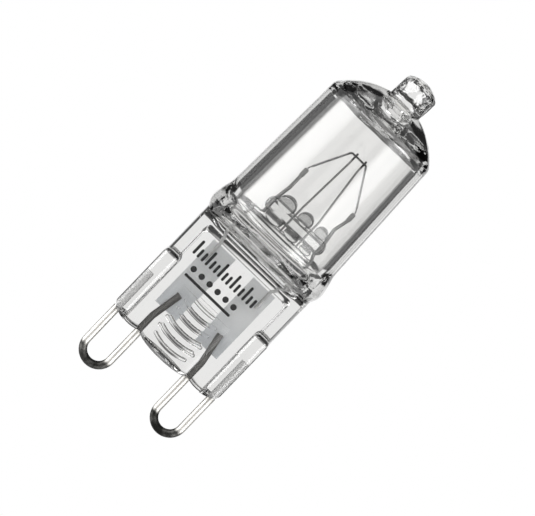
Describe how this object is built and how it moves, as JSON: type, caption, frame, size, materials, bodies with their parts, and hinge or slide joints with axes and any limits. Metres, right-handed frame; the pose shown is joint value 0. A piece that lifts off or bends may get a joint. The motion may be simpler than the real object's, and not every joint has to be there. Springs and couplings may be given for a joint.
{
  "type": "halogen capsule bulb",
  "caption": "Clear quartz halogen capsule bulb with a coiled filament on a glass bridge, a pressed flat seal with side rails and ribs, and looped wire contact pins.",
  "frame": {"origin": "on the bulb's axis, level with the lowest glass of the flat seal, midway between the two contact loops", "axes": "+Z along the bulb's axis towards its tip, +X along the width of the flat seal from the left loop to the right one, +Y through the seal's thickness"},
  "size_m": [0.0136, 0.0134, 0.04],
  "materials": {
    "quartz": "clear, fire polished",
    "contact_wire": "drawn wire, bright on the legs and dark at the bends",
    "seal_foil": "thin rolled foil, grey",
    "inner_wire": "drawn wire",
    "bead_glass": "clear, fire polished",
    "tungsten": "coiled wire, dark grey"
  },
  "bodies": {
    "root": {"quartz_envelope": "quartz", "contact_loop_left": "contact_wire", "contact_loop_right": "contact_wire", "seal_foil_left": "seal_foil", "seal_foil_right": "seal_foil", "lead_wire_left": "inner_wire", "lead_wire_right": "inner_wire", "support_wire_left": "inner_wire", "support_wire_right": "inner_wire", "bridge_bead": "bead_glass", "filament": "tungsten"}
  },
  "joints": []
}
